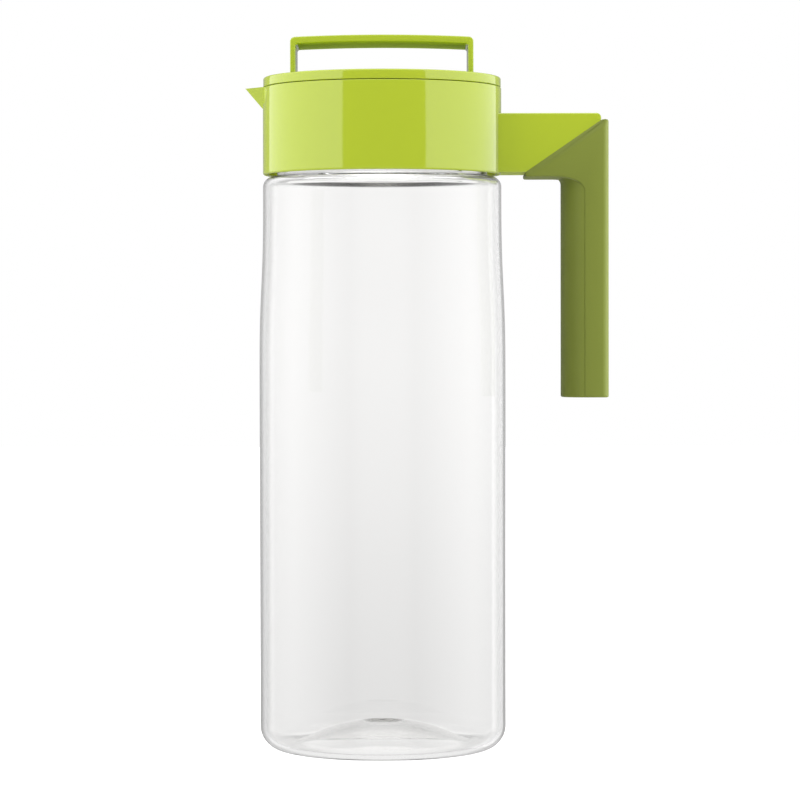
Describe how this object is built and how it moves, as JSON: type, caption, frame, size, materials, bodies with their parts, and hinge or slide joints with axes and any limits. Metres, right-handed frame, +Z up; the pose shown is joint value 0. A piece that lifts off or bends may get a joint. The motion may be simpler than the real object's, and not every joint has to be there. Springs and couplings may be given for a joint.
{
  "type": "pitcher",
  "caption": "Tall clear plastic pitcher with a screw collar that carries a pointed spout and a side handle with a soft grip, closed by a screw lid with an upright bail.",
  "frame": {"origin": "on the plane that the pitcher stands on, under the middle of its whole length and width; the jug's axis is 19.1 mm towards the spout", "axes": "+Z up along the jug's axis, +X from the spout to the handle, +Y to the pitcher's far side"},
  "size_m": [0.1566, 0.1066, 0.3082],
  "materials": {
    "clear_plastic": "clear, polished",
    "green_plastic": "glossy moulded",
    "soft_grip": "soft, matte",
    "silicone": "translucent, satin"
  },
  "bodies": {
    "jug": {"jug": "clear_plastic"},
    "jug_seal": {"jug_gasket": "silicone"},
    "collar": {"collar": "green_plastic", "handle_arm": "green_plastic", "grip_sleeve": "soft_grip"},
    "lid_seal": {"plug_seal": "silicone"},
    "lid": {"lid_cap": "green_plastic", "lid_plug": "green_plastic"}
  },
  "joints": [
    {"name": "collar_rise", "type": "slide", "parent": "jug", "child": "jug_seal", "axis": [0, 0, 1], "range_m": [0, 0.021]},
    {"name": "collar_turn", "type": "hinge", "parent": "jug_seal", "child": "collar", "pos_m": [-0.0191, 0, 0.2488], "axis": [0, 0, 1], "range_deg": [0, 630]},
    {"name": "lid_rise", "type": "slide", "parent": "collar", "child": "lid_seal", "axis": [0, 0, 1], "range_m": [0, 0.032]},
    {"name": "lid_turn", "type": "hinge", "parent": "lid_seal", "child": "lid", "pos_m": [-0.0191, 0, 0.2863], "axis": [0, 0, 1], "range_deg": [0, 480]}
  ],
  "couplings": [
    {"joint": "collar_rise", "follows": "collar_turn", "m_per_rad": 0.0019099},
    {"joint": "lid_rise", "follows": "lid_turn", "m_per_rad": 0.0038197}
  ]
}
